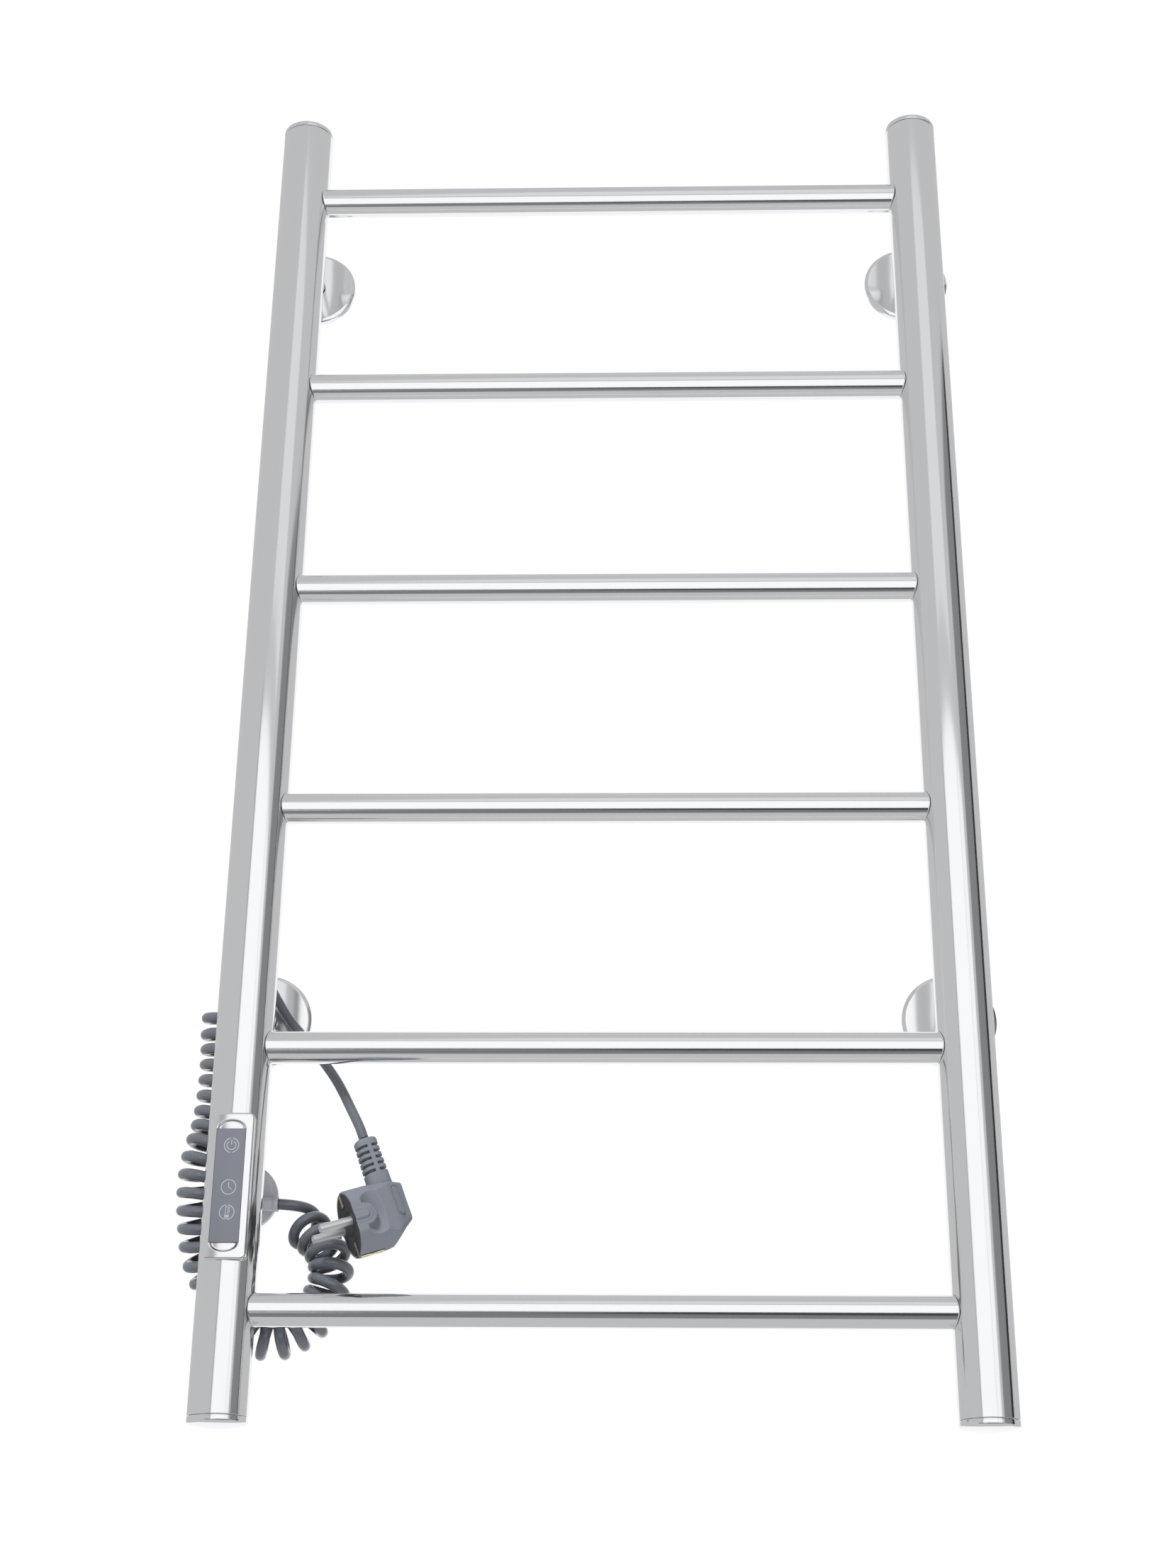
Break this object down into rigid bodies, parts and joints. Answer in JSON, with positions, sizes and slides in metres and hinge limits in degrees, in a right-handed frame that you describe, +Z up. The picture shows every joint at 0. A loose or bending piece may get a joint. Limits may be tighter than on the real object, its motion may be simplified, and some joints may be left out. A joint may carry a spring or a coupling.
{
  "type": "towel warmer rack",
  "caption": "Wall-hung electric ladder towel warmer with round rungs, touch panel, sliding rosettes and a curly cord with angled plug.",
  "frame": {"origin": "on the wall plane, midway between the uprights, at the height of their lower ends", "axes": "+Z up along the uprights, +X to the right seen from the room, +Y into the wall"},
  "size_m": [0.4618, 0.0805, 0.836],
  "materials": {
    "polished_chrome": "mirror-polished stainless steel",
    "plain_steel": "plain turned steel",
    "brass": "bright spring brass",
    "slate_glass": "opaque dark slate touch glass, glossy",
    "black_plastic": "moulded, matt",
    "circuit_board": "green solder mask",
    "cable_jacket": "silicone jacket",
    "light_grey_plastic": "satin moulded",
    "slate_plastic": "semi-gloss moulded slate grey"
  },
  "bodies": {
    "rack": {"bracket_post_bottom_left": "polished_chrome", "bracket_post_bottom_right": "polished_chrome", "bracket_post_top_left": "polished_chrome", "bracket_post_top_right": "polished_chrome", "cap_bottom_left": "polished_chrome", "cap_bottom_right": "polished_chrome", "cap_top_left": "polished_chrome", "cap_top_right": "polished_chrome", "control_board": "circuit_board", "cord_boss": "light_grey_plastic", "cord_coil_lower": "slate_plastic", "cord_coil_upper": "slate_plastic", "cord_nozzle": "light_grey_plastic", "cord_tail_gland": "slate_plastic", "cord_tail_plug": "slate_plastic", "heating_cable_left": "cable_jacket", "heating_cable_right": "cable_jacket", "heating_cable_rung_1": "cable_jacket", "heating_cable_rung_2": "cable_jacket", "heating_cable_rung_3": "cable_jacket", "heating_cable_rung_4": "cable_jacket", "heating_cable_rung_5": "cable_jacket", "heating_cable_rung_6": "cable_jacket", "mains_relay": "black_plastic", "panel_bezel": "polished_chrome", "panel_gasket": "black_plastic", "plug_body": "slate_plastic", "plug_earth_clip_lower": "brass", "plug_earth_clip_upper": "brass", "plug_face": "black_plastic", "plug_pin_front": "plain_steel", "plug_pin_rear": "plain_steel", "plug_strain_relief": "slate_plastic", "rung_1": "polished_chrome", "rung_2": "polished_chrome", "rung_3": "polished_chrome", "rung_4": "polished_chrome", "rung_5": "polished_chrome", "rung_6": "polished_chrome", "set_screw_bottom_left": "plain_steel", "set_screw_bottom_right": "plain_steel", "set_screw_top_left": "plain_steel", "set_screw_top_right": "plain_steel", "terminal_block": "light_grey_plastic", "thermal_sensor": "plain_steel", "touch_board": "circuit_board", "touch_glass": "slate_glass", "upright_left": "polished_chrome", "upright_right": "polished_chrome", "wall_socket_bottom_left": "plain_steel", "wall_socket_bottom_right": "plain_steel", "wall_socket_top_left": "plain_steel", "wall_socket_top_right": "plain_steel"},
    "rosette_bottom_left": {"rosette_bottom_left": "polished_chrome"},
    "rosette_bottom_right": {"rosette_bottom_right": "polished_chrome"},
    "rosette_top_left": {"rosette_top_left": "polished_chrome"},
    "rosette_top_right": {"rosette_top_right": "polished_chrome"}
  },
  "joints": [
    {"name": "rosette_bottom_left_slide", "type": "slide", "parent": "rack", "child": "rosette_bottom_left", "axis": [0, -1, 0], "range_m": [0, 0.015]},
    {"name": "rosette_bottom_right_slide", "type": "slide", "parent": "rack", "child": "rosette_bottom_right", "axis": [0, -1, 0], "range_m": [0, 0.015]},
    {"name": "rosette_top_left_slide", "type": "slide", "parent": "rack", "child": "rosette_top_left", "axis": [0, -1, 0], "range_m": [0, 0.015]},
    {"name": "rosette_top_right_slide", "type": "slide", "parent": "rack", "child": "rosette_top_right", "axis": [0, -1, 0], "range_m": [0, 0.015]}
  ]
}
